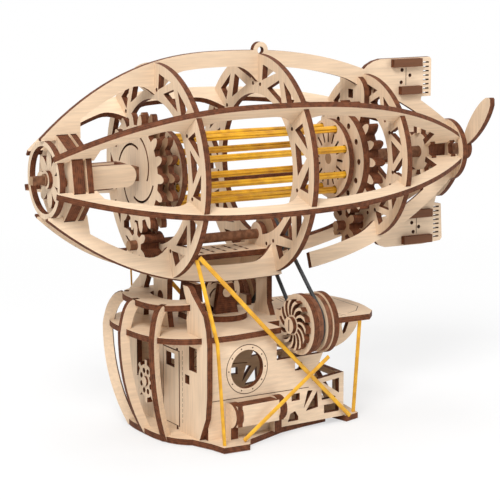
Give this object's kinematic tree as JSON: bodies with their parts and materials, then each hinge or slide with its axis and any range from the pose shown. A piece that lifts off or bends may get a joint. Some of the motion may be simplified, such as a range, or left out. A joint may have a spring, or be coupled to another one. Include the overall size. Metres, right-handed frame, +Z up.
{
  "type": "airship model",
  "caption": "Plywood airship model with a ribbed hull, rubber-band motor, geared layshaft, belt-driven side fans and a gondola.",
  "frame": {"origin": "on the underside of the floor plate, on the hull's middle plane, below the middle ring", "axes": "+X from nose to tail along the hull, -Y towards the side seen in the picture, +Z up"},
  "size_m": [0.256, 0.1122, 0.1944],
  "materials": {
    "plywood": "matt birch plywood, dark laser-cut edges",
    "burnt_plywood": "matt, browned by the laser",
    "yellow_rubber": "satin",
    "black_rubber": "satin"
  },
  "bodies": {
    "frame": {"rib_top": "plywood", "rib_upper_near": "plywood", "rib_upper_far": "plywood", "rib_lower_near": "plywood", "rib_lower_far": "plywood", "keel_rib_near_front": "plywood", "keel_rib_near_rear": "plywood", "keel_rib_far_front": "plywood", "keel_rib_far_rear": "plywood", "ring_front": "plywood", "ring_middle": "plywood", "ring_rear": "plywood", "nose_hoop": "plywood", "nose_plates": "plywood", "shaft_box": "plywood", "tail_box": "plywood", "tail_hoop": "plywood", "fin_upper": "plywood", "fin_lower": "plywood", "fin_battens": "burnt_plywood", "cap_plate": "plywood", "key_socket": "plywood", "cross_bracket": "plywood", "hook_bracket": "plywood", "keel_boards": "plywood", "nacelle_brackets": "plywood", "belt_near": "black_rubber", "belt_far": "black_rubber", "front_pillar": "plywood", "rear_strut": "plywood", "main_deck": "plywood", "upper_deck": "plywood", "cabin_ribs": "plywood", "bulkhead": "plywood", "floor_plate": "plywood", "side_panels": "plywood", "floor_tank": "plywood", "rear_frame": "plywood", "stays": "yellow_rubber"},
    "band_motor": {"nose_fan": "plywood", "front_shaft": "burnt_plywood", "drive_gear_front": "plywood", "drive_gear_back": "burnt_plywood", "band_disc_front": "plywood", "rubber_bands": "yellow_rubber", "band_drum_rear": "plywood", "rear_gear": "plywood", "rear_shaft": "burnt_plywood", "propeller": "plywood"},
    "layshaft": {"layshaft": "burnt_plywood", "layshaft_gear": "plywood", "hull_pulley": "burnt_plywood"},
    "winding_pinion": {"winding_pinion": "burnt_plywood"},
    "nacelle_near": {"nacelle_fan_near": "plywood", "nacelle_pulley_near": "burnt_plywood"},
    "nacelle_far": {"nacelle_fan_far": "plywood", "nacelle_pulley_far": "burnt_plywood"},
    "spoked_wheel": {"spoked_wheel": "plywood"},
    "helm_wheel": {"helm_wheel": "plywood"},
    "cabin_door": {"cabin_door": "plywood"}
  },
  "joints": [
    {"name": "motor_spin", "type": "hinge", "parent": "frame", "child": "band_motor", "pos_m": [0, 0, 0.1325], "axis": [1, 0, 0], "continuous": true},
    {"name": "layshaft_spin", "type": "hinge", "parent": "frame", "child": "layshaft", "pos_m": [0, 0, 0.0965], "axis": [1, 0, 0], "continuous": true},
    {"name": "winding_spin", "type": "hinge", "parent": "frame", "child": "winding_pinion", "pos_m": [0.054, 0, 0.0965], "axis": [1, 0, 0], "continuous": true},
    {"name": "nacelle_near_spin", "type": "hinge", "parent": "frame", "child": "nacelle_near", "pos_m": [0, -0.0406, 0.0565], "axis": [1, 0, 0], "continuous": true},
    {"name": "nacelle_far_spin", "type": "hinge", "parent": "frame", "child": "nacelle_far", "pos_m": [0, 0.0406, 0.0565], "axis": [1, 0, 0], "continuous": true},
    {"name": "spoked_wheel_spin", "type": "hinge", "parent": "frame", "child": "spoked_wheel", "pos_m": [-0.022, 0, 0.0689], "axis": [0, 1, 0], "continuous": true},
    {"name": "helm_spin", "type": "hinge", "parent": "frame", "child": "helm_wheel", "pos_m": [-0.06, 0.008, 0.0245], "axis": [1, 0, 0], "continuous": true},
    {"name": "door_hinge", "type": "hinge", "parent": "frame", "child": "cabin_door", "pos_m": [-0.053, -0.013, 0.0225], "axis": [0, 0, 1], "range_deg": [-95, 0]}
  ],
  "couplings": [
    {"joint": "layshaft_spin", "follows": "motor_spin", "ratio": -3},
    {"joint": "winding_spin", "follows": "motor_spin", "ratio": -3},
    {"joint": "nacelle_near_spin", "follows": "motor_spin", "ratio": -2.25},
    {"joint": "nacelle_far_spin", "follows": "motor_spin", "ratio": -2.25}
  ]
}
